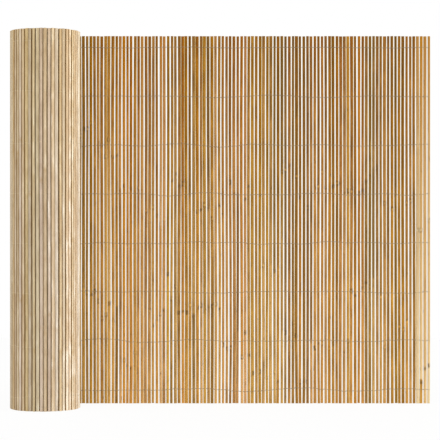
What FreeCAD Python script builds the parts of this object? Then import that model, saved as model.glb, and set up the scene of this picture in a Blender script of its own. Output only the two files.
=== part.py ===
"""Split-bamboo fence panel, 1 m high: upright slats bound by rows of wire, the far end still rolled up.

The mat starts at its free edge on the right, runs flat to the left and then winds into a spiral roll that stands
in front of the flat run. Every slat is a split of bamboo: a flat pith face on the back, two split sides and a
gently crowned skin on the front. In the roll the pith face looks outwards.
"""

import FreeCAD
import Part
import math
import os
import Sketcher

# Driving dimensions in millimetres: alias, value, meaning
SIZES = (
    ("panel_height", 1000.0, "length of every slat"),
    ("mat_length", 2900.0, "length of the mat when it is unrolled"),
    ("flat_length", 1037.0, "length of mat that lies flat, from the free edge to the roll"),
    ("core_diameter", 130.5, "open core in the middle of the roll"),
    ("turn_gap", 0.56, "air between two turns of the roll"),
    ("slat_width", 7.65, "mean width of a slat"),
    ("width_spread", 1.6, "difference between the broadest and the narrowest slat"),
    ("slat_gap", 2.35, "mean gap between two slats"),
    ("least_gap", 0.4, "narrowest gap left where two broad slats stray towards each other"),
    ("slat_thickness", 5.0, "thickness of a slat, pith face to the top of its crown"),
    ("crown_height", 0.3, "rise of the crowned skin above the split sides"),
    ("wire_depth", 0.8, "depth of a wire row, one strand"),
    ("wire_height", 1.6, "height of a wire row, two strands one above the other"),
    ("bottom_margin", 37.0, "lower slat ends to the middle of the lowest wire row"),
    ("top_margin", 31.0, "upper slat ends to the middle of the highest wire row"),
)
# Counts, which have no unit
WIRE_ROWS = 8
WIDTH_GRADES = 5
SLATS_PER_GROUP = 10
SLATS_PER_WIRE_FACET = 2

doc = FreeCAD.newDocument("bamboo_fence_panel")
sheet = doc.addObject("Spreadsheet::Sheet", "sizes")
for row, (alias, value, meaning) in enumerate(SIZES, start=1):
    sheet.set(f"A{row}", alias)
    sheet.set(f"B{row}", str(value))
    sheet.set(f"C{row}", meaning)
    sheet.setAlias(f"B{row}", alias)
doc.recompute()


def size(alias):
    """The number in the sheet's cell of that name."""
    return float(sheet.get(alias))


SLAT_PITCH = size("slat_width") + size("slat_gap")
SLAT_COUNT = int(size("mat_length") // SLAT_PITCH)
HALF_THICKNESS = size("slat_thickness") / 2
# Slats stray along the mat over this range and still keep the least gap
PLACE_SPREAD = size("slat_gap") - size("width_spread") / 2 - size("least_gap")
TURN_PITCH = size("slat_thickness") + 2 * size("wire_depth") + size("turn_gap")
# Middle of the mat's thickness: the innermost turn, and the outermost where the flat run meets the roll
INNER_RADIUS = size("core_diameter") / 2 + HALF_THICKNESS
ROLLED_LENGTH = size("mat_length") - size("flat_length")
OUTER_RADIUS = math.sqrt(INNER_RADIUS**2 + TURN_PITCH * ROLLED_LENGTH / math.pi)


def stray(index, stride):
    """An even scatter from -0.5 to 0.5 that never repeats: squares times an irrational stride, wrapped."""
    return (index * index * stride) % 1.0 - 0.5


def grade_of(index):
    """Which width grade the slat at that place in the mat has."""
    return int((stray(index, math.sqrt(7)) + 0.5) * WIDTH_GRADES)


def grade_share(grade):
    """A grade's place between the narrowest, -0.5, and the broadest, 0.5."""
    return grade / (WIDTH_GRADES - 1) - 0.5


def grade_width(grade):
    return size("slat_width") + size("width_spread") * grade_share(grade)


def station(index):
    """Middle of a slat and its turn about Z, with the flat run on the X axis and its roll end at the origin."""
    along = SLAT_PITCH * (index + 0.5) + PLACE_SPREAD * stray(index, math.sqrt(3))
    if along <= size("flat_length"):
        return FreeCAD.Vector(size("flat_length") - along, 0, 0), 0.0
    wound = along - size("flat_length")
    radius = math.sqrt(OUTER_RADIUS**2 - TURN_PITCH * wound / math.pi)
    angle = 2 * math.pi * (OUTER_RADIUS - radius) / TURN_PITCH
    inward_lean = math.atan(TURN_PITCH / (2 * math.pi * radius))
    axis = FreeCAD.Vector(0, -OUTER_RADIUS, 0)
    outwards = FreeCAD.Vector(-math.sin(angle), math.cos(angle), 0)
    return axis + outwards * radius, angle + inward_lean


STATIONS = [station(index) for index in range(SLAT_COUNT)]
FLAT_COUNT = sum(1 for _, turn in STATIONS if turn == 0.0)


def along_and_out(turn):
    """Directions along the mat, back towards the free edge, and out through the pith face."""
    along = FreeCAD.Vector(math.cos(turn), math.sin(turn), 0)
    out = FreeCAD.Vector(-math.sin(turn), math.cos(turn), 0)
    return along, out


def slat_corners(index):
    """Corners of a slat's pith face in plan, the one towards the free edge first."""
    middle, turn = STATIONS[index]
    along, out = along_and_out(turn)
    half_width = grade_width(grade_of(index)) / 2
    face = middle + out * HALF_THICKNESS
    return face + along * half_width, face - along * half_width


def crossing(line, other):
    """Where two lines in plan cross. A line is its normal and its distance from the origin along that normal."""
    (n, d), (m, e) = line, other
    det = n.x * m.y - n.y * m.x
    return FreeCAD.Vector((d * m.y - e * n.y) / det, (e * n.x - d * m.x) / det, 0)


def wire_facets():
    """Lines that a wire row follows in plan: the flat run, then straight facets pulled tight over the roll."""
    _, flat_out = along_and_out(0.0)
    lines = [(flat_out, HALF_THICKNESS)]
    for first in range(FLAT_COUNT, SLAT_COUNT, SLATS_PER_WIRE_FACET):
        members = range(first, min(first + SLATS_PER_WIRE_FACET, SLAT_COUNT))
        turn = sum(STATIONS[i][1] for i in members) / len(members)
        _, out = along_and_out(turn)
        reach = max(corner.dot(out) for i in members for corner in slat_corners(i))
        lines.append((out, reach))
    return lines


def wire_outline():
    """Closed plan outline of a wire row: its face on the slats, then its outer face on the way back."""
    free_corner = slat_corners(0)[0]
    inner_corner = slat_corners(SLAT_COUNT - 1)[1]
    free_along, _ = along_and_out(STATIONS[0][1])
    inner_along, _ = along_and_out(STATIONS[-1][1])
    ends = ((free_along, free_corner.dot(free_along)), (inner_along, inner_corner.dot(inner_along)))

    def side(offset):
        moved = [(normal, reach + offset) for normal, reach in wire_facets()]
        lines = [ends[0], *moved, ends[1]]
        return [crossing(a, b) for a, b in zip(lines, lines[1:])]

    return side(0.0) + side(size("wire_depth"))[::-1]


def plan_shift(outline):
    """Moves the plan so that the middle of its bounding box is at the origin."""
    points = outline + [corner for index in range(SLAT_COUNT) for corner in slat_corners(index)]
    middle_x = (min(p.x for p in points) + max(p.x for p in points)) / 2
    middle_y = (min(p.y for p in points) + max(p.y for p in points)) / 2
    return FreeCAD.Vector(-middle_x, -middle_y, 0)


def slat_blank(grade):
    """One width of slat as a body: its split section drawn in a sketch and padded to the panel's height."""
    half_width = grade_width(grade) / 2
    shoulder = size("crown_height") - HALF_THICKNESS
    crown_radius = (half_width**2 + size("crown_height") ** 2) / (2 * size("crown_height"))
    crown_centre = FreeCAD.Vector(0, crown_radius - HALF_THICKNESS, 0)
    half_sweep = math.asin(half_width / crown_radius)

    body = doc.addObject("PartDesign::Body", f"slat_blank_{grade + 1}")
    section = body.newObject("Sketcher::SketchObject", f"split_section_{grade + 1}")
    ground = next(plane for plane in body.Origin.OriginFeatures if plane.Role == "XY_Plane")
    section.AttachmentSupport = [(ground, "")]
    section.MapMode = "FlatFace"

    left_back = FreeCAD.Vector(-half_width, HALF_THICKNESS, 0)
    right_back = FreeCAD.Vector(half_width, HALF_THICKNESS, 0)
    left_front = FreeCAD.Vector(-half_width, shoulder, 0)
    right_front = FreeCAD.Vector(half_width, shoulder, 0)
    circle = Part.Circle(crown_centre, FreeCAD.Vector(0, 0, 1), crown_radius)
    lowest = 1.5 * math.pi
    back = section.addGeometry(Part.LineSegment(left_back, right_back), False)
    right = section.addGeometry(Part.LineSegment(right_back, right_front), False)
    crown = section.addGeometry(Part.ArcOfCircle(circle, lowest - half_sweep, lowest + half_sweep), False)
    left = section.addGeometry(Part.LineSegment(left_front, left_back), False)

    start, end, y_axis, origin = 1, 2, -2, (-1, 1)
    joints = ((back, end, right, start), (right, end, crown, end), (crown, start, left, start), (left, end, back, start))
    for joint in joints:
        section.addConstraint(Sketcher.Constraint("Coincident", *joint))
    section.addConstraint(Sketcher.Constraint("Vertical", right))
    section.addConstraint(Sketcher.Constraint("Vertical", left))
    section.addConstraint(Sketcher.Constraint("Equal", right, left))
    section.addConstraint(Sketcher.Constraint("Symmetric", back, start, back, end, y_axis))
    width_formula = f"sizes.slat_width + sizes.width_spread * ({grade_share(grade)})"
    sizes_of_section = (
        ("width", Sketcher.Constraint("DistanceX", back, start, back, end, 2 * half_width),
         width_formula),
        ("pith_face", Sketcher.Constraint("DistanceY", *origin, back, start, HALF_THICKNESS),
         "sizes.slat_thickness / 2"),
        ("split_side", Sketcher.Constraint("DistanceY", right, end, right, start, HALF_THICKNESS - shoulder),
         "sizes.slat_thickness - sizes.crown_height"),
        ("crown_radius", Sketcher.Constraint("Radius", crown, crown_radius),
         f"(({width_formula})^2 / 4 + sizes.crown_height^2) / (2 * sizes.crown_height)"),
    )
    for name, constraint, formula in sizes_of_section:
        number = section.addConstraint(constraint)
        section.renameConstraint(number, name)
        section.setExpression(f"Constraints.{name}", formula)

    pad = body.newObject("PartDesign::Pad", f"slat_length_{grade + 1}")
    pad.Profile = section
    pad.setExpression("Length", "sizes.panel_height")
    return body


def slat_groups(blanks, shift):
    """The slats in the order of the mat, each a placed copy of its blank, gathered ten by ten from the free edge."""
    groups = []
    for first in range(0, SLAT_COUNT, SLATS_PER_GROUP):
        members = range(first, min(first + SLATS_PER_GROUP, SLAT_COUNT))
        slats = []
        for index in members:
            middle, turn = STATIONS[index]
            slat = doc.addObject("App::Link", f"slat_{index + 1:03d}")
            slat.LinkedObject = blanks[grade_of(index)]
            slat.Placement = FreeCAD.Placement(
                middle + shift, FreeCAD.Rotation(FreeCAD.Vector(0, 0, 1), math.degrees(turn))
            )
            slats.append(slat)
        group = doc.addObject("Part::Compound", "slat_group")
        group.Label = f"slats_{members[0] + 1:03d}_to_{members[-1] + 1:03d}"
        group.Links = slats
        groups.append(group)
    return groups


def wire_rows(outline, shift):
    """The rows of binding wire, lowest first, all with the same plan outline."""
    plan = doc.addObject("Part::Polygon", "wire_plan")
    plan.Nodes = [point + shift for point in outline]
    plan.Close = True
    rows = []
    for number in range(WIRE_ROWS):
        wire = doc.addObject("Part::Extrusion", "wire_row")
        wire.Label = f"binding_wire_{number + 1}"
        wire.Base = plan
        wire.DirMode = "Custom"
        wire.Dir = FreeCAD.Vector(0, 0, 1)
        wire.Solid = True
        wire.setExpression("LengthFwd", "sizes.wire_height")
        spacing = f"(sizes.panel_height - sizes.bottom_margin - sizes.top_margin) / {WIRE_ROWS - 1}"
        wire.setExpression(
            "Placement.Base.z", f"sizes.bottom_margin + {number} * {spacing} - sizes.wire_height / 2"
        )
        rows.append(wire)
    return rows


def checked(parts):
    """Stops unless every object recomputed and every sub-part is a valid shape made of solids."""
    failed = [o.Label for o in doc.Objects if "Invalid" in o.State or "Error" in o.State]
    if failed:
        raise RuntimeError(f"these objects did not recompute: {failed}")
    for part in parts:
        if part.Shape.isNull() or not part.Shape.isValid() or not part.Shape.Solids:
            raise RuntimeError(f"{part.Label} has no valid solid")
    return parts


outline = wire_outline()
shift = plan_shift(outline)
blanks = [slat_blank(grade) for grade in range(WIDTH_GRADES)]
sub_parts = slat_groups(blanks, shift) + wire_rows(outline, shift)
doc.recompute()

os.makedirs("parts", exist_ok=True)
for part in checked(sub_parts):
    part.Shape.exportStep(os.path.join("parts", f"{part.Label}.step"))

print(f"{SLAT_COUNT} slats, {FLAT_COUNT} of them flat, roll {2 * (OUTER_RADIUS + HALF_THICKNESS):.1f} mm across")
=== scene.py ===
"""Dresses the bamboo fence panel: split slats with skin, pith, knots and bows, twisted binding wires, and the studio.

The mat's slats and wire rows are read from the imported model, so every dressed piece sits where its solid is.
"""

import math
import random

import bmesh
import bpy
import numpy as np
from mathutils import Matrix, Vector
from mathutils.kdtree import KDTree


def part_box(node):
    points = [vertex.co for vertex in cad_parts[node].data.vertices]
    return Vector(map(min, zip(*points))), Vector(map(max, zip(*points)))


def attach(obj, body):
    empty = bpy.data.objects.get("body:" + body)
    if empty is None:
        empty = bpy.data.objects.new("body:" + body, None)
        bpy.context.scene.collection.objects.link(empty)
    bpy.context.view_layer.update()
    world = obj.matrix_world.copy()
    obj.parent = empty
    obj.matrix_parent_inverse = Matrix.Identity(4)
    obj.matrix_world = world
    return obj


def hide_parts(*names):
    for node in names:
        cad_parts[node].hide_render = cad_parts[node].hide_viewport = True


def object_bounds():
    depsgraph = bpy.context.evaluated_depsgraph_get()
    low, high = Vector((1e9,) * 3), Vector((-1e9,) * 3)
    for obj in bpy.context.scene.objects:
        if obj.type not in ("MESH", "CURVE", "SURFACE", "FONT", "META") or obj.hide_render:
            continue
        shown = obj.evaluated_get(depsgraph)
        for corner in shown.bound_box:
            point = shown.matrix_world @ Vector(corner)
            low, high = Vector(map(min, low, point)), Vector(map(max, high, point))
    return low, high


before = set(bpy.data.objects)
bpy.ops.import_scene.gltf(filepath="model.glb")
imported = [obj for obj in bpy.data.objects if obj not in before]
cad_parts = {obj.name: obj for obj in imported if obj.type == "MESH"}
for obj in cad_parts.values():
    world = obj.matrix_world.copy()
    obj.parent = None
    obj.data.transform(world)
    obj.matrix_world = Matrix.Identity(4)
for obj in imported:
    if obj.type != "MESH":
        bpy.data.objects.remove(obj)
CAD_BOX = [list(corner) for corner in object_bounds()]

bl_info = {
    "name": "Bamboo Fence Panel",
    "version": (1, 0, 0),
    "blender": (4, 5, 0),
    "location": "3D View > Sidebar > Fence",
    "description": "Dresses a split-bamboo fence mat with slats, twisted wires and a studio",
    "category": "Object",
}

MM = 0.001
SLAT_NODES = sorted(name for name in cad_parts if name.startswith("slats_"))
WIRE_NODES = sorted(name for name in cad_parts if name.startswith("binding_wire_"))

# Seeds of the four sets of random draws. The mat, the slats and the wires add the number of their piece
MAT_SEED, WAVE_SEED, SLAT_SEED, WIRE_SEED = 7000, 61, 100, 300
# Each slat's marks come from its own place in a long run of noise
SEED_SPAN = 37.0

# Where the pattern slat has its two knots, as shares of its length
PATTERN_KNOTS = (0.3, 0.7)
# Rings of a slat between foot and top: a knot with a shoulder on each side, a plain ring, another knot with its
# shoulders, and a plain ring
LOW_KNOT_RING, HIGH_KNOT_RING = 2, 6
# Shares of the height at which neighbouring slats are kept clear of each other
CLEAR_LEVELS = np.linspace(0, 1, 33)
PUSH_PASSES = 80

# Culms: how many neighbours are split from one, where its knots are as shares of the length, and how far its tone
# and its slats' own tones, hues and knots scatter
SLATS_OF_CULM = (2, 7)
LOW_KNOT = (0.07, 0.33)
KNOT_SPACING = (0.26, 0.5)
KNOT_SCATTER = 0.02
CULM_TONE_SCATTER, SLAT_TONE_SCATTER, LENGTH_TONE_SCATTER = 0.75, 0.66, 0.13
SLAT_HUE_SCATTER = 0.2
# Tones run from 0, dark, past 1, pale. The culm at the free edge is the palest
MIDDLE_TONE, PALEST_TONE = 0.5, 1.6
FREE_EDGE_TONE = 5.0
# The flat run's slats face straight back. Their tone drifts over this many of them, paler towards the roll as painted
# light against the roll's shade, and the last few are brown again
STRAIGHT_BACK = 0.9999
DRIFT_SLATS, BROWN_FROM, BROWN_DROP = 100, 90, 0.5
# A few lengths between knots are dark with mould
MOULD_SHARE, MOULD_DROP = 0.05, 0.55

# Bends of one slat, how much more the feet spread than the tops, and waves that neighbouring slats share: how many,
# over how many slats, how often up the mat, and how many slats from the free edge they have their full size
BEND_SCATTER = 0.6
FOOT_SPREAD, FOOT_POWER = 0.8, 4
SHARED_WAVES = 6
WAVE_SLATS = (2.5, 9.0)
WAVE_TURNS = (0.6, 2.4)
STEADY_SLATS = 12
SWELLINGS = 6

# Knots that show, how strong they are, and how much they widen a slat
KNOT_SHARE = 0.85
KNOT_STRENGTH = (0.3, 1.0)
KNOT_WIDENING = 0.03
# Most ends are cut close to the line: the higher the power, the fewer fall short
TOP_POWER, BOTTOM_POWER = 2, 4
# Width of the crown's flat as a share of the slat's width
CROWN_SHARE = 0.5
# Finishes by their place in a slat's list of materials
SKIN, SPLIT_FACE, SAWN_END = range(3)
# A face looks one way where its normal has at least this share along it, and the crown's sloping edges are skin too
FACING, SKIN_FACING = 0.9, 0.3
# Edges that meet at less than this are shaded round
ROUND_ANGLE = math.radians(40)
# Points nearer than this are one point
TOUCHING = 0.001 * MM

# Wires: lengths of the waves in metres, their shares of the wander, and the scatter from slat to slat
WIRE_WAVES = 3
WIRE_WAVE_LENGTH = (0.11, 0.5)
WIRE_WAVE_SHARE = (0.2, 0.4)
WIRE_SCATTER = 0.2
# A strand leaves a slat just inside its edge, where the crowned skin lies lower
STRAND_EDGE, BROW_DROP = 0.25 * MM, 0.55 * MM
# Places of the crossing points in a gap, and how far twin strands stand apart there in strand radii
CROSSING = (0.22, 0.5, 0.78)
TWIN_SPREAD = 1.05
# How bright a strand shows on the skin, on the pith and in the gaps: worn zinc, and painted reflection of the slat
# beneath
WEAR_AND_REFLECTION_SKIN, WEAR_AND_REFLECTION_PITH, WEAR_AND_REFLECTION_GAP = 0.5, 1.0, 0.0

# Stage: the camera's film, its reach, the floor's corners, and each lamp's place and side in metres
FILM_WIDTH = 36
CAMERA_REACH = 50
FLOOR_CORNERS = 96
KEY_LAMP = ((9.0, -2.45, 2.6), 4.0)
FRONT_LAMP = ((0.5, -5.4, 1.0), 2.0)
LEFT_LAMP = ((-4.5, -1.2, 1.2), 2.0)

# Sockets that share a name within their node, by number: of Map Range, of a colour Mix, and of Math
VALUE, FROM_LOW, FROM_HIGH, TO_LOW, TO_HIGH = range(5)
FACTOR, UNDER, OVER = 0, 6, 7
FIRST, SECOND, ADDED = range(3)


def srgb(code):
    """A colour written as sRGB hex, as linear red, green and blue."""
    parts = [int(code[i : i + 2], 16) / 255 for i in (1, 3, 5)]
    return tuple(p / 12.92 if p <= 0.04045 else ((p + 0.055) / 1.055) ** 2.4 for p in parts)


def colour(name, code, description):
    """A colour property for the sidebar, with its default written as sRGB hex."""
    return bpy.props.FloatVectorProperty(
        name=name, description=description, subtype="COLOR", size=3, min=0, max=1, default=srgb(code)
    )


def length(name, millimetres, description):
    """A length property for the sidebar, with its default written in millimetres."""
    return bpy.props.FloatProperty(
        name=name, description=description, subtype="DISTANCE", unit="LENGTH", default=millimetres * MM
    )


def share(name, default, description):
    """A property from 0 to 1 for the sidebar."""
    return bpy.props.FloatProperty(
        name=name, description=description, subtype="FACTOR", min=0, max=1, default=default
    )


def power(name, watts, description):
    """A lamp's power for the sidebar."""
    return bpy.props.FloatProperty(name=name, description=description, unit="POWER", min=0, default=watts)


class FenceSlatSettings(bpy.types.PropertyGroup):
    """Shape and colour of the split slats."""

    chamfer: length("Chamfer", 0.6, "Bruised corners between the pith face and the split sides")
    shoulder: length("Shoulder", 0.9, "How far the skin's rounded edges drop to the split sides")
    sway: length("Sway", 0.4, "How far a slat leans and bows by itself, where its neighbours leave room")
    shared_sway: length("Shared sway", 0.35, "How far neighbouring slats lean and bow together")
    wound_freedom: share("Freedom in the roll", 0.35, "Share of its sway that a slat keeps in the tight roll")
    clearance: length("Clearance", 0.25, "Least air between two slats that lean towards each other")
    pith_share: share("Pith width", 0.93, "Width of the pith face as a share of the skin's, split along the radius")
    fullness: share("Fullness", 0.045, "Share by which a slat's swollen middle is broader than its solid")
    taper: share("Taper", 0.09, "Share by which a slat's width changes from its middle to an end")
    unevenness: share("Unevenness", 0.05, "Share by which a slat's width wanders")
    knot_swell: length("Knot swell", 0.35, "How far a knot stands proud of the skin")
    knot_shoulder: length("Knot shoulder", 10.0, "Distance from a knot's ridge to the plain slat")
    short_ends: length("Short ends", 0.9, "Most that a slat's end falls short of the cut line")
    tone_spread: share("Tone spread", 0.22, "How far slats differ from each other in tone")
    # Painted light: the flat run is painted paler towards the roll, against the shade that the roll casts on it
    painted_light_drift: share("Tone drift", 0.75, "How much paler the flat run is at the roll than at the free edge")
    # Painted light: roll slats that face right, towards the key lamp, are painted paler
    flank_painted_light: share("Flank drift", 1.0, "How much paler the right flank of the roll is than its front")
    skin_dark: colour("Skin, dark", "#664209", "Darkest slats, the sun-browned outside of the culm")
    skin_mid: colour("Skin, middle", "#85540c", "Most slats, near their upper ends")
    skin_pale: colour("Skin, pale", "#aa7424", "Palest slats")
    skin_straw: colour("Skin, straw", "#d3a559", "Bleached lower ends and scraped streaks")
    skin_cream: colour("Skin, cream", "#e2cb9e", "Bleached lower ends of the palest culms")
    skin_edge: colour("Skin, edge", "#bca044", "Bare fibres along the split edges")
    skin_stain: colour("Skin, stain", "#553a0e", "Weather stains and dirt beside the knots")
    # Split side: dense fibres next to the skin, darkened further as painted shade in the gaps between slats
    side: colour("Split side", "#9e7a38", "Dense fibres of the split sides, next to the skin")
    pith: colour("Pith face", "#cebea2", "Split inner face of the culm")
    pith_white: colour("Pith face, white", "#f1eada", "Palest split faces")
    pith_dark: colour("Pith face, dark", "#9c8462", "Fibres and dull patches of the split face")


class FenceWireSettings(bpy.types.PropertyGroup):
    """Size and colour of the binding wires."""

    strand: length("Strand", 0.74, "Diameter of one strand")
    wander: length("Wander", 3.0, "How far the highest wire row strays up and down along the mat")
    low_wander: length("Low wander", 7.0, "How far the lowest wire row strays up and down along the mat")
    bite: length("Bite", 0.55, "How deep a tight strand sinks into the soft pith")
    zinc: colour("Zinc", "#7c7668", "Dull zinc coat")
    # Worn zinc, and painted reflection of the pale slats that the strand lies on
    zinc_bright: colour("Zinc, rubbed", "#d0bd98", "Coat rubbed bright where it is pulled tight over a slat")
    zinc_dark: colour("Zinc, dark", "#564f44", "Weathered patches of the coat")


class FenceStageSettings(bpy.types.PropertyGroup):
    """Camera, floor and lamps."""

    camera_distance: length("Camera distance", 4200, "Camera to the flat run of the mat")
    camera_height: length("Camera height", 499.2, "Camera above the floor")
    camera_left: length("Camera left", 6.2, "Camera to the left of the panel's middle")
    view_width: length("View width", 1198.6, "Width of the view at the flat run of the mat")
    floor_radius: length("Floor radius", 2600, "Radius of the round floor")
    key_power: power("Key lamp", 700, "Soft lamp at the right")
    front_power: power("Front lamp", 52, "Soft lamp behind the camera")
    left_power: power("Left lamp", 84, "Soft lamp at the left")
    ambient: share("Ambient", 0.62, "Strength of the light from all round")
    floor_glow: share("Floor glow", 0.93, "Share of white that the floor shows without light")
    floor_colour: colour("Floor", "#fbfaf8", "Pale studio floor")


def add_node(tree, kind, inputs=None, stops=None, **settings):
    """Adds a node: settings are its properties, inputs are values or sockets, stops are a ramp's places and colours.

    A node given as an input stands for the one output that it has in use.
    """
    made = tree.nodes.new(kind)
    for name, value in settings.items():
        setattr(made, name, value)
    for key, value in (inputs or {}).items():
        if isinstance(value, bpy.types.Node):
            value = next(socket for socket in value.outputs if socket.enabled)
        if isinstance(value, bpy.types.NodeSocket):
            tree.links.new(value, made.inputs[key])
        else:
            made.inputs[key].default_value = value
    if stops:
        ramp = made.color_ramp
        while len(ramp.elements) < len(stops):
            ramp.elements.new(0.5)
        for element, (place, shade) in zip(ramp.elements, stops):
            element.position = place
            element.color = (*shade[:3], 1)
    return made


def new_material(name):
    """An empty node material and its tree."""
    material = bpy.data.materials.new(name)
    material.use_nodes = True
    material.node_tree.nodes.clear()
    return material, material.node_tree


def slat_marks(tree, across, along, detail):
    """Marks that run up a slat, of that size in millimetres, different on every slat."""
    place = add_node(tree, "ShaderNodeTexCoord").outputs["Object"]
    seed = add_node(tree, "ShaderNodeAttribute", attribute_name="slat_seed").outputs["Fac"]
    scale = (1 / MM / across, 1 / MM / across, 1 / MM / along)
    spread = add_node(tree, "ShaderNodeMapping", {"Vector": place, "Scale": scale})
    noise = add_node(
        tree, "ShaderNodeTexNoise",
        {"Vector": spread, "W": seed, "Scale": 1.0, "Detail": detail, "Roughness": 0.6},
        noise_dimensions="4D",
    )
    return noise.outputs["Fac"]


def height_above_ground(tree):
    """Height of the shaded point in metres."""
    place = add_node(tree, "ShaderNodeTexCoord").outputs["Object"]
    return add_node(tree, "ShaderNodeSeparateXYZ", {"Vector": place}).outputs["Z"]


def bamboo_skin(settings):
    """Outside of the culm, sun-browned and a little waxy: fine fibres, scraped streaks, stains, knots, paler feet."""
    material, tree = new_material("bamboo_skin")
    # The tone holds painted light: paler towards the roll on the flat run, and paler on the roll's right flank
    tone, hue, seed, knot, edge = (
        add_node(tree, "ShaderNodeAttribute", attribute_name=name).outputs["Fac"]
        for name in ("tone_and_painted_light", "slat_hue", "slat_seed", "knot", "slat_edge")
    )
    # Culm fibres are a fifth of a millimetre wide. They are drawn three times as broad so that they show
    fibres = slat_marks(tree, 0.6, 45, 2.0)
    streaks = slat_marks(tree, 2.2, 110, 3.0)
    patches = slat_marks(tree, 9, 75, 2.0)
    specks = slat_marks(tree, 5.0, 24, 2.0)
    # Brown of the slat, cloudy along it
    clouds = add_node(
        tree, "ShaderNodeMapRange", {VALUE: patches, FROM_LOW: 0.3, FROM_HIGH: 0.7, TO_LOW: -0.38, TO_HIGH: 0.38},
        clamp=False,
    )
    drift = add_node(tree, "ShaderNodeMath", {FIRST: clouds, SECOND: tone}, operation="ADD")
    body = add_node(
        tree, "ShaderNodeValToRGB", {"Fac": drift},
        stops=[(0.0, settings.skin_dark), (0.5, settings.skin_mid), (1.0, settings.skin_pale)],
    )
    # Lower ends are bleached, pale slats most of all
    low = add_node(
        tree, "ShaderNodeMapRange",
        {VALUE: height_above_ground(tree), FROM_LOW: 1.0, FROM_HIGH: 0.0, TO_LOW: 0.0, TO_HIGH: 1.0},
    )
    weathered = add_node(
        tree, "ShaderNodeMapRange", {VALUE: drift, FROM_LOW: 0.0, FROM_HIGH: 1.0, TO_LOW: 0.22, TO_HIGH: 0.9}
    )
    bleach = add_node(tree, "ShaderNodeMath", {FIRST: low, SECOND: weathered}, operation="MULTIPLY")
    # Streaks are scraped pale, and the ridge of a knot is rubbed pale
    scraped = add_node(
        tree, "ShaderNodeMapRange", {VALUE: streaks, FROM_LOW: 0.58, FROM_HIGH: 0.72, TO_LOW: 0.0, TO_HIGH: 0.45}
    )
    scar = add_node(
        tree, "ShaderNodeMapRange", {VALUE: knot, FROM_LOW: 0.5, FROM_HIGH: 0.85, TO_LOW: 0.0, TO_HIGH: 0.5}
    )
    worn = add_node(tree, "ShaderNodeMath", {FIRST: scraped, SECOND: scar}, operation="MAXIMUM")
    pale = add_node(tree, "ShaderNodeMath", {FIRST: bleach, SECOND: worn}, operation="ADD", use_clamp=True)
    palest = add_node(
        tree, "ShaderNodeMapRange", {VALUE: tone, FROM_LOW: 0.95, FROM_HIGH: 1.35, TO_LOW: 0.0, TO_HIGH: 1.0}
    )
    straw = add_node(
        tree, "ShaderNodeMix", {FACTOR: palest, UNDER: (*settings.skin_straw, 1), OVER: (*settings.skin_cream, 1)},
        data_type="RGBA",
    )
    faded = add_node(tree, "ShaderNodeMix", {FACTOR: pale, UNDER: body, OVER: straw}, data_type="RGBA")
    # Some culms are more orange, some more olive, and some greyer
    turn = add_node(tree, "ShaderNodeMapRange", {VALUE: hue, TO_LOW: 0.488, TO_HIGH: 0.504})
    warmth = add_node(
        tree, "ShaderNodeMapRange", {VALUE: seed, FROM_LOW: 0.0, FROM_HIGH: SEED_SPAN, TO_LOW: 0.94, TO_HIGH: 1.08}
    )
    tinted = add_node(tree, "ShaderNodeHueSaturation", {"Hue": turn, "Saturation": warmth, "Color": faded})
    streaky = add_node(
        tree, "ShaderNodeValToRGB", {"Fac": fibres},
        stops=[(0.28, (0.7, 0.68, 0.62)), (0.5, (0.98, 0.98, 0.98)), (0.74, (1.2, 1.19, 1.14))],
    )
    grained = add_node(
        tree, "ShaderNodeMix", {FACTOR: 1.0, UNDER: tinted, OVER: streaky}, data_type="RGBA", blend_type="MULTIPLY"
    )
    # The skin is torn off unevenly along the split edges
    torn = add_node(tree, "ShaderNodeMath", {FIRST: streaks, SECOND: 0.5, ADDED: edge}, operation="MULTIPLY_ADD")
    bare = add_node(
        tree, "ShaderNodeMapRange", {VALUE: torn, FROM_LOW: 0.92, FROM_HIGH: 1.12, TO_LOW: 0.0, TO_HIGH: 0.75}
    )
    frayed = add_node(tree, "ShaderNodeMath", {FIRST: low, SECOND: 0.55}, operation="MULTIPLY")
    fray = add_node(
        tree, "ShaderNodeMix", {FACTOR: frayed, UNDER: (*settings.skin_edge, 1), OVER: (*settings.skin_cream, 1)},
        data_type="RGBA",
    )
    edged = add_node(tree, "ShaderNodeMix", {FACTOR: bare, UNDER: grained, OVER: fray}, data_type="RGBA")
    # Weather spots and dull streaks, and dirt in blots beside the knots
    spots = add_node(
        tree, "ShaderNodeMapRange", {VALUE: specks, FROM_LOW: 0.64, FROM_HIGH: 0.76, TO_LOW: 0.0, TO_HIGH: 0.75}
    )
    gloom = add_node(
        tree, "ShaderNodeMapRange", {VALUE: streaks, FROM_LOW: 0.38, FROM_HIGH: 0.27, TO_LOW: 0.0, TO_HIGH: 0.45}
    )
    beside = add_node(
        tree, "ShaderNodeMapRange", {VALUE: knot, FROM_LOW: 0.1, FROM_HIGH: 0.4, TO_LOW: 0.0, TO_HIGH: 1.0}
    )
    blots = add_node(
        tree, "ShaderNodeMapRange", {VALUE: specks, FROM_LOW: 0.44, FROM_HIGH: 0.6, TO_LOW: 0.0, TO_HIGH: 0.8}
    )
    dirt = add_node(tree, "ShaderNodeMath", {FIRST: beside, SECOND: blots}, operation="MULTIPLY")
    marks = add_node(tree, "ShaderNodeMath", {FIRST: spots, SECOND: gloom}, operation="MAXIMUM")
    dark = add_node(tree, "ShaderNodeMath", {FIRST: marks, SECOND: dirt}, operation="MAXIMUM")
    stained = add_node(
        tree, "ShaderNodeMix", {FACTOR: dark, UNDER: edged, OVER: (*settings.skin_stain, 1)}, data_type="RGBA"
    )
    gloss = add_node(
        tree, "ShaderNodeMapRange", {VALUE: streaks, FROM_LOW: 0.3, FROM_HIGH: 0.8, TO_LOW: 0.42, TO_HIGH: 0.65}
    )
    relief = add_node(tree, "ShaderNodeBump", {"Strength": 0.4, "Distance": 0.15 * MM, "Height": fibres})
    shader = add_node(
        tree, "ShaderNodeBsdfPrincipled",
        {"Base Color": stained, "Roughness": gloss, "Normal": relief, "Specular IOR Level": 0.12},
    )
    add_node(tree, "ShaderNodeOutputMaterial", {"Surface": shader})
    return material


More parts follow.
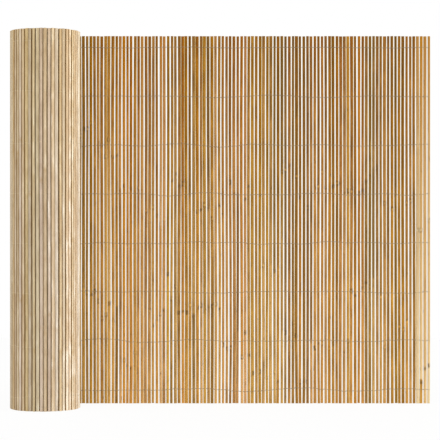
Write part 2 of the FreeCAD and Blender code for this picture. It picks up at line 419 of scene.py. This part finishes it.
def bamboo_split_face(settings):
    """Split faces of the culm: matt, pale straw on the pith side, browner towards the skin, partly as painted shade
    in the gaps between slats, with long torn fibres.
    """
    material, tree = new_material("bamboo_split_face")
    # The tone holds painted light on parts of the mat, and the brown towards the skin is partly painted shade in the
    # gaps
    tone, hue, seed, knot, depth = (
        add_node(tree, "ShaderNodeAttribute", attribute_name=name).outputs["Fac"]
        for name in ("tone_and_painted_light", "slat_hue", "slat_seed", "knot", "near_skin_and_gap_shade")
    )
    fibres = slat_marks(tree, 0.7, 60, 2.0)
    bands = slat_marks(tree, 3.0, 260, 2.0)
    patches = slat_marks(tree, 10, 45, 3.0)
    # Straw colour of the slat, in patches and long bands
    patchy = add_node(tree, "ShaderNodeMath", {FIRST: patches, SECOND: 0.7, ADDED: -0.18}, operation="MULTIPLY_ADD")
    toned = add_node(tree, "ShaderNodeMath", {FIRST: tone, SECOND: 0.3, ADDED: patchy}, operation="MULTIPLY_ADD")
    drift = add_node(tree, "ShaderNodeMath", {FIRST: bands, SECOND: 0.6, ADDED: toned}, operation="MULTIPLY_ADD")
    body = add_node(
        tree, "ShaderNodeValToRGB", {"Fac": drift},
        stops=[(0.4, settings.pith_dark), (0.85, settings.pith), (1.0, settings.pith_white)],
    )
    # Some culms are greyer, some more orange
    turn = add_node(tree, "ShaderNodeMapRange", {VALUE: hue, TO_LOW: 0.48, TO_HIGH: 0.508})
    warmth = add_node(
        tree, "ShaderNodeMapRange", {VALUE: seed, FROM_LOW: 0.0, FROM_HIGH: SEED_SPAN, TO_LOW: 0.7, TO_HIGH: 1.3}
    )
    tinted = add_node(tree, "ShaderNodeHueSaturation", {"Hue": turn, "Saturation": warmth, "Color": body})
    streaky = add_node(
        tree, "ShaderNodeValToRGB", {"Fac": fibres},
        stops=[(0.28, (0.8, 0.77, 0.7)), (0.5, (0.98, 0.98, 0.97)), (0.74, (1.08, 1.08, 1.07))],
    )
    grained = add_node(
        tree, "ShaderNodeMix", {FACTOR: 1.0, UNDER: tinted, OVER: streaky}, data_type="RGBA", blend_type="MULTIPLY"
    )
    # Upper ends are more golden
    golden = add_node(
        tree, "ShaderNodeMapRange",
        {VALUE: height_above_ground(tree), FROM_LOW: 0.45, FROM_HIGH: 1.0, TO_LOW: 0.0, TO_HIGH: 1.0},
    )
    warmed = add_node(
        tree, "ShaderNodeMix", {FACTOR: golden, UNDER: grained, OVER: (1.0, 0.95, 0.83, 1)}, data_type="RGBA",
        blend_type="MULTIPLY",
    )
    # The split sides and the knots are browner. The split sides' brown is partly painted shade in the gaps between
    # slats
    browned = add_node(
        tree, "ShaderNodeMath", {FIRST: knot, SECOND: 0.35, ADDED: depth}, operation="MULTIPLY_ADD", use_clamp=True
    )
    sided = add_node(
        tree, "ShaderNodeMix", {FACTOR: browned, UNDER: warmed, OVER: (*settings.side, 1)}, data_type="RGBA"
    )
    relief = add_node(tree, "ShaderNodeBump", {"Strength": 0.4, "Distance": 0.3 * MM, "Height": fibres})
    shader = add_node(
        tree, "ShaderNodeBsdfPrincipled",
        {"Base Color": sided, "Roughness": 0.6, "Normal": relief, "Specular IOR Level": 0.4},
    )
    add_node(tree, "ShaderNodeOutputMaterial", {"Surface": shader})
    return material


def bamboo_sawn_end(settings):
    """Sawn slat end: pale tissue dotted with dark fibre bundles, close together under the skin."""
    material, tree = new_material("bamboo_sawn_end")
    place = add_node(tree, "ShaderNodeTexCoord").outputs["Object"]
    # Fibre bundles are about half a millimetre apart
    cells = add_node(tree, "ShaderNodeTexVoronoi", {"Vector": place, "Scale": 1 / MM / 0.55})
    dots = add_node(
        tree, "ShaderNodeValToRGB", {"Fac": cells.outputs["Distance"]},
        stops=[(0.2, settings.side), (0.5, settings.pith_dark), (0.85, settings.pith)],
    )
    depth = add_node(tree, "ShaderNodeAttribute", attribute_name="near_skin_and_gap_shade").outputs["Fac"]
    skinned = add_node(
        tree, "ShaderNodeMix", {FACTOR: depth, UNDER: dots, OVER: (*settings.skin_mid, 1)}, data_type="RGBA"
    )
    shader = add_node(
        tree, "ShaderNodeBsdfPrincipled", {"Base Color": skinned, "Roughness": 0.85, "Specular IOR Level": 0.2}
    )
    add_node(tree, "ShaderNodeOutputMaterial", {"Surface": shader})
    return material


def galvanised_wire(settings):
    """Drawn steel wire with a hot-dip zinc coat: dull grey patches a few millimetres long, bright and beige where
    worn over a slat, partly as painted reflection of the slat.
    """
    material, tree = new_material("galvanised_wire")
    place = add_node(tree, "ShaderNodeTexCoord").outputs["Object"]
    bloom = add_node(
        tree, "ShaderNodeTexNoise", {"Vector": place, "Scale": 1 / MM / 4.0, "Detail": 3.0, "Roughness": 0.6}
    ).outputs["Fac"]
    coat = add_node(
        tree, "ShaderNodeValToRGB", {"Fac": bloom}, stops=[(0.35, settings.zinc_dark), (0.65, settings.zinc)]
    )
    # Over a slat the strand turns beige: worn zinc, and painted reflection of the slat
    rubbed_and_reflecting = add_node(tree, "ShaderNodeAttribute", attribute_name="rubbed_and_reflecting").outputs["Fac"]
    shown = add_node(
        tree, "ShaderNodeMix", {FACTOR: rubbed_and_reflecting, UNDER: coat, OVER: (*settings.zinc_bright, 1)}, data_type="RGBA"
    )
    dull = add_node(
        tree, "ShaderNodeMapRange", {VALUE: bloom, FROM_LOW: 0.3, FROM_HIGH: 0.7, TO_LOW: 0.6, TO_HIGH: 0.42}
    )
    shader = add_node(
        tree, "ShaderNodeBsdfPrincipled", {"Base Color": shown, "Roughness": dull, "Metallic": 0.8}
    )
    add_node(tree, "ShaderNodeOutputMaterial", {"Surface": shader})
    return material


def ring_levels(height, knots, settings):
    """Heights of a slat's rings, with its two knots at the given shares of its length."""
    reach = settings.knot_shoulder / height
    low, high = knots
    low_knot = [low - reach, low, low + reach]
    high_knot = [high - reach, high, high + reach]
    return np.array([0.0, *low_knot, (low + high) / 2, *high_knot, (high + 1) / 2, 1.0]) * height


class Slat:
    """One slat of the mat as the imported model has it, with its own knots, lean and bow."""

    def __init__(self, node, faces):
        pith_face = max(faces, key=lambda face: face.calc_area())
        self.node = node
        self.out = Vector((pith_face.normal.x, pith_face.normal.y, 0)).normalized()
        self.along = Vector((self.out.y, -self.out.x, 0))
        corners = {vert for face in faces for vert in face.verts}
        reach = sorted(vert.co.dot(self.along) for vert in corners)
        depth = sorted(vert.co.dot(self.out) for vert in corners)
        self.width = reach[-1] - reach[0]
        self.thickness = depth[-1] - depth[0]
        self.height = max(vert.co.z for vert in corners)
        self.middle = self.along * (reach[0] + reach[-1]) / 2 + self.out * (depth[0] + depth[-1]) / 2

    def half_width(self, height):
        """Half of the slat's width at that height."""
        return np.interp(height / self.height, CLEAR_LEVELS, self.halves)

    def sway(self, height):
        """How far the slat stands sideways of the straight solid at that height."""
        return np.interp(height / self.height, CLEAR_LEVELS, self.sways)

    def point(self, side, depth, height):
        """A place on the slat: across it, through it, and up it."""
        reach = side + float(self.sway(height))
        return self.middle + self.along * reach + self.out * depth + Vector((0, 0, height))


def split_islands(mesh):
    """The faces of each loose solid of a node."""
    work = bmesh.new()
    work.from_mesh(mesh)
    bmesh.ops.remove_doubles(work, verts=work.verts, dist=TOUCHING)
    left = set(work.faces)
    islands = []
    while left:
        front = [left.pop()]
        island = []
        while front:
            face = front.pop()
            island.append(face)
            for edge in face.edges:
                for other in edge.link_faces:
                    if other in left:
                        left.remove(other)
                        front.append(other)
        islands.append(island)
    return work, islands


def grow_slats(mat, settings):
    """Gives every slat its knots, tone, hue, taper and bends."""
    place = 2 * CLEAR_LEVELS - 1
    left_of_culm = 0
    for index, slat in enumerate(mat):
        dice = random.Random(MAT_SEED + index)
        # Neighbours that were split from one culm share its tone and, nearly, the heights of its knots
        if left_of_culm == 0:
            left_of_culm = dice.randint(*SLATS_OF_CULM)
            culm_low = dice.uniform(*LOW_KNOT)
            culm_high = culm_low + dice.uniform(*KNOT_SPACING)
            culm_tone, culm_hue = dice.gauss(0, CULM_TONE_SCATTER), dice.random()
            culm_tone = FREE_EDGE_TONE if index == 0 else culm_tone
        left_of_culm -= 1
        low, high = (knot + dice.gauss(0, KNOT_SCATTER) for knot in (culm_low, culm_high))
        slat.knots = (low, high)
        # The flat run grows a little paler towards the roll, as painted light against the roll's shade, and the roll
        # grows paler towards its right flank, as painted light where the key lamp falls
        flat = slat.out.y > STRAIGHT_BACK
        if flat:
            drift = settings.painted_light_drift * (index / DRIFT_SLATS - 0.5) - (BROWN_DROP if index > BROWN_FROM else 0.0)
        else:
            drift = settings.flank_painted_light * max(0, slat.out.x) ** 2
        slat.tone = MIDDLE_TONE + drift + settings.tone_spread * (culm_tone + dice.gauss(0, SLAT_TONE_SCATTER))
        slat.hue = min(1.0, max(0.0, culm_hue + dice.gauss(0, SLAT_HUE_SCATTER)))
        lean, bow, twist = (dice.gauss(0, BEND_SCATTER) for _ in range(3))
        bends = [dice.gauss(0, BEND_SCATTER) for _ in range(5)]
        kinks = np.interp(CLEAR_LEVELS, (0, low, (low + high) / 2, high, 1), bends)
        own = lean * place + bow * (1 - place**2) + twist * np.sin(math.pi * place) + kinks
        spread = 1 + FOOT_SPREAD * (1 - CLEAR_LEVELS) ** FOOT_POWER
        slat.sways = settings.sway * spread * (own - own.mean())
        # Wound tight, the slats of the roll lie straighter
        slat.freedom = 1.0 if flat else settings.wound_freedom
        swellings = [dice.uniform(-1, 1) for _ in range(SWELLINGS)]
        swelling = np.interp(CLEAR_LEVELS, np.linspace(0, 1, SWELLINGS), swellings)
        taper = settings.taper * dice.uniform(-1, 1)
        wide = 1 + settings.fullness + taper * place + settings.unevenness * swelling
        # The free edge of the mat stays where it was cut
        slat.halves = slat.width / 2 * (np.minimum(wide, 1) if index == 0 else wide)


def settle_slats(mat, settings):
    """Lets waves run through the mat and pushes neighbours apart where they would run into each other."""
    halves = np.array([slat.halves for slat in mat])
    sways = np.array([slat.sways for slat in mat])
    freedom = np.array([slat.freedom for slat in mat])
    # The waves die out at the free edge, which stays straight
    dice = random.Random(WAVE_SEED)
    order = np.arange(len(mat))
    for _ in range(SHARED_WAVES):
        span, phase = dice.uniform(*WAVE_SLATS), dice.uniform(0, 2 * math.pi)
        turns, lag = dice.uniform(*WAVE_TURNS), dice.uniform(0, 2 * math.pi)
        across = np.sin(order / span + phase) * np.minimum(1, order / STEADY_SLATS)
        sways += settings.shared_sway * np.outer(across, np.cos(math.pi * turns * CLEAR_LEVELS + lag))
    sways *= freedom[:, None]
    spacing = np.array([(a.middle - b.middle).length for a, b in zip(mat, mat[1:])])[:, None]
    for _ in range(PUSH_PASSES):
        gap = spacing - halves[:-1] - halves[1:] + sways[:-1] - sways[1:]
        push = np.maximum(settings.clearance - gap, 0) / 2
        sways[:-1] += push
        sways[1:] -= push
        sways[0] = np.minimum(sways[0], 0)
    for slat, row in zip(mat, sways):
        slat.sways = row


def read_mat(settings):
    """All slats in the order of the mat, from the free edge to the roll's core, each with its own lean and bow."""
    mat = []
    for name in SLAT_NODES:
        work, islands = split_islands(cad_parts[name].data)
        found = [Slat(name, island) for island in islands]
        work.free()
        last = mat[-1].middle if mat else Vector((CAD_BOX[1][0], found[0].middle.y, 0))
        while found:
            nearest = min(found, key=lambda slat: (slat.middle - last).length)
            found.remove(nearest)
            mat.append(nearest)
            last = nearest.middle
    grow_slats(mat, settings)
    settle_slats(mat, settings)
    return mat


def select_faces(mesh_object, test):
    """In edit mode, selects just the faces that pass the test."""
    work = bmesh.from_edit_mesh(mesh_object.data)
    for face in work.faces:
        face.select_set(False)
    for face in work.faces:
        if test(face):
            face.select_set(True)
    work.select_flush_mode()
    bmesh.update_edit_mesh(mesh_object.data)


def select_edges(mesh_object, test):
    """In edit mode, selects just the edges that pass the test."""
    bpy.ops.mesh.select_mode(type="EDGE")
    bpy.ops.mesh.select_all(action="DESELECT")
    work = bmesh.from_edit_mesh(mesh_object.data)
    for edge in work.edges:
        if test(*(vert.co for vert in edge.verts)):
            edge.select_set(True)
    bmesh.update_edit_mesh(mesh_object.data)


def slat_pattern(slat, settings):
    """One slat at the origin, skin to the front: a split block, its crown drawn up, with rings for knots and bows."""
    bpy.ops.object.select_all(action="DESELECT")
    bpy.ops.mesh.primitive_cube_add(size=1)
    pattern = bpy.context.object
    pattern.name = "slat_pattern"
    drop = settings.shoulder
    bpy.ops.object.mode_set(mode="EDIT")
    bpy.ops.mesh.select_all(action="SELECT")
    bpy.ops.transform.resize(value=(slat.width, slat.thickness - drop, slat.height))
    bpy.ops.transform.translate(value=(0, drop / 2, slat.height / 2))
    select_faces(pattern, lambda face: face.normal.y > FACING)
    bpy.ops.transform.resize(value=(settings.pith_share, 1, 1))
    select_faces(pattern, lambda face: face.normal.y < -FACING)
    bpy.ops.mesh.extrude_region_move(TRANSFORM_OT_translate={"value": (0, -drop, 0)})
    bpy.ops.transform.resize(value=(CROWN_SHARE, 1, 1))
    back = slat.thickness / 2 - TOUCHING
    select_edges(pattern, lambda a, b: abs(a.z - b.z) > drop and min(a.y, b.y) > back)
    bpy.ops.mesh.bevel(offset=settings.chamfer, offset_type="OFFSET", segments=1, affect="EDGES")
    for level in ring_levels(slat.height, PATTERN_KNOTS, settings)[1:-1]:
        bpy.ops.mesh.select_all(action="SELECT")
        bpy.ops.mesh.bisect(plane_co=(0, 0, level), plane_no=(0, 0, 1))
    bpy.ops.mesh.select_all(action="SELECT")
    bpy.ops.mesh.normals_make_consistent(inside=False)
    bpy.ops.object.mode_set(mode="OBJECT")
    bpy.ops.object.shade_smooth_by_angle(angle=ROUND_ANGLE)
    return pattern


def dressed_slat(index, slat, pattern, settings):
    """A copy of the pattern with its own mesh: this slat's width, knots, bows and tone, set in its place."""
    dice = random.Random(SLAT_SEED + index)
    mesh = pattern.data.copy()
    count = len(mesh.vertices)
    co = np.empty(count * 3, np.float32)
    mesh.vertices.foreach_get("co", co)
    co = co.reshape(-1, 3).astype(float)
    plain = ring_levels(slat.height, PATTERN_KNOTS, settings)
    ring = np.abs(co[:, 2:3] - plain).argmin(1)
    top = ring == len(plain) - 1
    swell = np.zeros(len(plain))
    for knot_ring in (LOW_KNOT_RING, HIGH_KNOT_RING):
        swell[knot_ring] = dice.uniform(*KNOT_STRENGTH) if dice.random() < KNOT_SHARE else 0.0
    levels = ring_levels(slat.height, slat.knots, settings)
    across = co[:, 0] / np.abs(co[:, 0]).max()
    side = across * slat.half_width(levels)[ring] * (1 + KNOT_WIDENING * swell[ring]) + slat.sway(levels)[ring]
    if index == 0:
        side = np.minimum(side, slat.width / 2)
    depth = co[:, 1] - np.where(co[:, 1] < 0, settings.knot_swell * swell[ring], 0.0)
    height = levels[ring] - np.where(top, dice.random() ** TOP_POWER * settings.short_ends, 0.0)
    height += np.where(ring == 0, dice.random() ** BOTTOM_POWER * settings.short_ends, 0.0)
    along, out, middle = (np.array(v) for v in (slat.along, slat.out, slat.middle))
    placed = middle + side[:, None] * along + depth[:, None] * out
    placed[:, 2] = height
    mesh.vertices.foreach_set("co", placed.astype(np.float32).ravel())
    # Each length between knots has its own tone, so the colour steps at a knot
    lengths = [
        slat.tone + dice.gauss(0, LENGTH_TONE_SCATTER) - (MOULD_DROP if dice.random() < MOULD_SHARE else 0.0)
        for _ in range(3)
    ]
    rings = (LOW_KNOT_RING + 1, HIGH_KNOT_RING - LOW_KNOT_RING, len(plain) - HIGH_KNOT_RING - 1)
    # The split sides are half as brown as the skin, partly as painted shade in the gaps between slats
    back = slat.thickness / 2 - settings.chamfer / 2
    values = {
        "tone_and_painted_light": np.clip(np.repeat(lengths, rings), 0, PALEST_TONE)[ring],
        "slat_hue": np.full(count, slat.hue),
        "slat_seed": np.full(count, SEED_SPAN * dice.random()),
        "knot": swell[ring],
        "near_skin_and_gap_shade": np.select([co[:, 1] < 0, co[:, 1] < back], [1.0, 0.5], 0.0),
        "slat_edge": np.abs(across),
    }
    for name, numbers in values.items():
        mesh.attributes.new(name, "FLOAT", "POINT").data.foreach_set("value", numbers.astype(np.float32))
    mesh.update()
    made = bpy.data.objects.new(f"slat_{index + 1:03d}", mesh)
    bpy.context.scene.collection.objects.link(made)
    return made


class FENCE_OT_slats(bpy.types.Operator):
    """Dress every group of slats as split bamboo"""

    bl_idname = "fence.slats"
    bl_label = "Slats"

    def execute(self, context):
        settings = context.scene.fence_slats
        mat = read_mat(settings)
        pattern = slat_pattern(mat[0], settings)
        for finish in (bamboo_skin, bamboo_split_face, bamboo_sawn_end):
            pattern.data.materials.append(finish(settings))
        for face in pattern.data.polygons:
            if abs(face.normal.z) > FACING:
                face.material_index = SAWN_END
            else:
                face.material_index = SKIN if face.normal.y < -SKIN_FACING else SPLIT_FACE
        for name in SLAT_NODES:
            copies = [dressed_slat(i, slat, pattern, settings) for i, slat in enumerate(mat) if slat.node == name]
            bpy.ops.object.select_all(action="DESELECT")
            for made in copies:
                made.select_set(True)
            context.view_layer.objects.active = copies[0]
            bpy.ops.object.join()
            piece = context.view_layer.objects.active
            piece.name = piece.data.name = name.replace("slats_", "bamboo_slats_")
            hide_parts(name)
            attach(piece, "root")
        bpy.data.meshes.remove(pattern.data)
        return {"FINISHED"}


def strand_points(mat, row_height, first_side, row, settings):
    """Middle line of one strand: in front of one slat and behind the next, crossing its twin in every gap.

    Each point comes with a mark of how bright it shows, for worn zinc and painted reflection of the slat beneath.
    """
    radius = settings.strand / 2
    low_share = (len(WIRE_NODES) - 1 - row) / (len(WIRE_NODES) - 1)
    wander = settings.wander + (settings.low_wander - settings.wander) * math.sqrt(low_share)
    dice = random.Random(WIRE_SEED + row)
    waves = [
        (dice.uniform(*WIRE_WAVE_LENGTH), dice.uniform(0, 2 * math.pi), dice.uniform(*WIRE_WAVE_SHARE))
        for _ in range(WIRE_WAVES)
    ]
    runs = []
    travelled = 0.0
    for index, slat in enumerate(mat):
        if index:
            travelled += (slat.middle - mat[index - 1].middle).length
        rise = sum(part * math.sin(2 * math.pi * travelled / wave + phase) for wave, phase, part in waves)
        height = row_height + wander * (rise + dice.uniform(-WIRE_SCATTER, WIRE_SCATTER))
        half = slat.thickness / 2
        if (index + first_side) % 2 == 0:
            crown, brow, rubbed_and_reflecting = -(half + radius), -(half - BROW_DROP + radius), WEAR_AND_REFLECTION_SKIN
        else:
            crown = brow = half + radius - settings.bite
            rubbed_and_reflecting = WEAR_AND_REFLECTION_PITH
        reach = float(slat.half_width(height)) - STRAND_EDGE
        runs.append([(slat.point(x, y, height), rubbed_and_reflecting) for x, y in ((reach, brow), (0.0, crown), (-reach, brow))])
    rise = radius * TWIN_SPREAD * (1 if first_side == 0 else -1)
    points = list(runs[0])
    for before, after in zip(runs, runs[1:]):
        for part in CROSSING:
            crossing = before[-1][0].lerp(after[0][0], part)
            points.append((crossing + Vector((0, 0, rise * math.sin(math.pi * part))), WEAR_AND_REFLECTION_GAP))
        points.extend(after)
    return points


class FENCE_OT_wires(bpy.types.Operator):
    """Bind the slats with rows of twisted wire"""

    bl_idname = "fence.wires"
    bl_label = "Binding wires"

    def execute(self, context):
        settings = context.scene.fence_wires
        mat = read_mat(context.scene.fence_slats)
        finish = galvanised_wire(settings)
        for row, name in enumerate(WIRE_NODES):
            low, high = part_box(name)
            line = bpy.data.curves.new(f"wire_line_{row + 1}", "CURVE")
            line.dimensions = "3D"
            line.bevel_depth = settings.strand / 2
            line.bevel_resolution = 1
            line.use_fill_caps = True
            marked = []
            for first_side in (0, 1):
                points = strand_points(mat, (low.z + high.z) / 2, first_side, row, settings)
                spline = line.splines.new("POLY")
                spline.points.add(len(points) - 1)
                spline.points.foreach_set("co", [x for place, _ in points for x in (*place, 1.0)])
                marked.extend(points)
            tree = KDTree(len(marked))
            for number, (place, _) in enumerate(marked):
                tree.insert(place, number)
            tree.balance()
            piece = bpy.data.objects.new(f"twisted_wire_{row + 1}", line)
            context.scene.collection.objects.link(piece)
            bpy.ops.object.select_all(action="DESELECT")
            piece.select_set(True)
            context.view_layer.objects.active = piece
            bpy.ops.object.convert(target="MESH")
            bpy.ops.object.shade_smooth()
            piece = context.view_layer.objects.active
            piece.data.materials.clear()
            piece.data.materials.append(finish)
            # Each point takes its nearest strand point's mark of worn zinc and painted reflection
            rubbed_and_reflecting = [marked[tree.find(vert.co)[1]][1] for vert in piece.data.vertices]
            piece.data.attributes.new("rubbed_and_reflecting", "FLOAT", "POINT").data.foreach_set("value", rubbed_and_reflecting)
            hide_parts(name)
            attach(piece, "root")
        return {"FINISHED"}


def seen_ray(tree):
    """1 for a ray from the camera or off metal or through glass, 0 for a ray of plain light."""
    ways = add_node(tree, "ShaderNodeLightPath").outputs
    seen = ways["Is Camera Ray"]
    for way in ("Is Glossy Ray", "Is Transmission Ray"):
        seen = add_node(tree, "ShaderNodeMath", {FIRST: seen, SECOND: ways[way]}, operation="MAXIMUM")
    return seen


def painted_floor(settings):
    """Matt white paint, which the camera sees as white with only a soft shadow."""
    material, tree = new_material("painted_floor")
    paint = add_node(
        tree, "ShaderNodeBsdfPrincipled", {"Base Color": (*settings.floor_colour, 1), "Roughness": 0.9}
    )
    glow = add_node(tree, "ShaderNodeEmission", {"Color": (1, 1, 1, 1), "Strength": 1.0})
    part = add_node(
        tree, "ShaderNodeMath", {FIRST: seen_ray(tree), SECOND: settings.floor_glow}, operation="MULTIPLY"
    )
    lit = add_node(tree, "ShaderNodeMixShader", {0: part, 1: paint, 2: glow})
    add_node(tree, "ShaderNodeOutputMaterial", {"Surface": lit})
    return material


def white_surround(settings):
    """An even world, which the camera sees as white and which lights the mat less than that."""
    world = bpy.data.worlds.new("white_surround")
    world.use_nodes = True
    tree = world.node_tree
    tree.nodes.clear()
    strength = add_node(
        tree, "ShaderNodeMapRange",
        {VALUE: seen_ray(tree), FROM_LOW: 0.0, FROM_HIGH: 1.0, TO_LOW: settings.ambient, TO_HIGH: 1.0},
    )
    sky = add_node(tree, "ShaderNodeBackground", {"Color": (1, 1, 1, 1), "Strength": strength})
    add_node(tree, "ShaderNodeOutputWorld", {"Surface": sky})
    return world


class FENCE_OT_stage(bpy.types.Operator):
    """Set the camera, the floor, the white surround and the lamps"""

    bl_idname = "fence.stage"
    bl_label = "Stage"

    def execute(self, context):
        settings = context.scene.fence_stage
        flat_low, flat_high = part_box(SLAT_NODES[0])
        flat_y = (flat_low.y + flat_high.y) / 2
        bpy.ops.object.select_all(action="DESELECT")
        bpy.ops.object.camera_add(
            location=(-settings.camera_left, flat_y - settings.camera_distance, settings.camera_height),
            rotation=(math.pi / 2, 0, 0),
        )
        camera = context.object
        camera.name = "photo_camera"
        camera.data.sensor_width = FILM_WIDTH
        camera.data.lens = FILM_WIDTH * settings.camera_distance / settings.view_width
        camera.data.clip_end = CAMERA_REACH
        context.scene.camera = camera

        bpy.ops.mesh.primitive_circle_add(
            vertices=FLOOR_CORNERS, radius=settings.floor_radius, fill_type="NGON", location=(0, 0, 0)
        )
        floor = context.object
        floor.name = "studio_floor"
        floor.data.materials.append(painted_floor(settings))
        context.scene.world = white_surround(settings)

        middle = Vector((0, 0, settings.camera_height))
        lamps = (
            ("key_lamp", *KEY_LAMP, settings.key_power),
            ("front_lamp", *FRONT_LAMP, settings.front_power),
            ("left_lamp", *LEFT_LAMP, settings.left_power),
        )
        for name, place, side, watts in lamps:
            turn = (middle - Vector(place)).to_track_quat("-Z", "Y").to_euler()
            bpy.ops.object.light_add(type="AREA", location=place, rotation=turn)
            lamp = context.object
            lamp.name = name
            lamp.data.shape = "SQUARE"
            lamp.data.size = side
            lamp.data.energy = watts
        context.scene.view_settings.view_transform = "Standard"
        return {"FINISHED"}


class FENCE_PT_sidebar(bpy.types.Panel):
    """Settings and steps of the fence panel."""

    bl_idname = "FENCE_PT_sidebar"
    bl_label = "Bamboo Fence Panel"
    bl_space_type = "VIEW_3D"
    bl_region_type = "UI"
    bl_category = "Fence"

    def draw(self, context):
        steps = (
            (context.scene.fence_slats, FENCE_OT_slats),
            (context.scene.fence_wires, FENCE_OT_wires),
            (context.scene.fence_stage, FENCE_OT_stage),
        )
        for settings, step in steps:
            box = self.layout.box()
            for name in settings.__annotations__:
                box.prop(settings, name)
            box.operator(step.bl_idname)


CLASSES = (
    FenceSlatSettings,
    FenceWireSettings,
    FenceStageSettings,
    FENCE_OT_slats,
    FENCE_OT_wires,
    FENCE_OT_stage,
    FENCE_PT_sidebar,
)


def register():
    for cls in CLASSES:
        bpy.utils.register_class(cls)
    bpy.types.Scene.fence_slats = bpy.props.PointerProperty(type=FenceSlatSettings)
    bpy.types.Scene.fence_wires = bpy.props.PointerProperty(type=FenceWireSettings)
    bpy.types.Scene.fence_stage = bpy.props.PointerProperty(type=FenceStageSettings)


def unregister():
    del bpy.types.Scene.fence_stage
    del bpy.types.Scene.fence_wires
    del bpy.types.Scene.fence_slats
    for cls in reversed(CLASSES):
        bpy.utils.unregister_class(cls)


def main():
    register()
    bpy.ops.fence.slats()
    bpy.ops.fence.wires()
    bpy.ops.fence.stage()


if __name__ == "__main__":
    main()
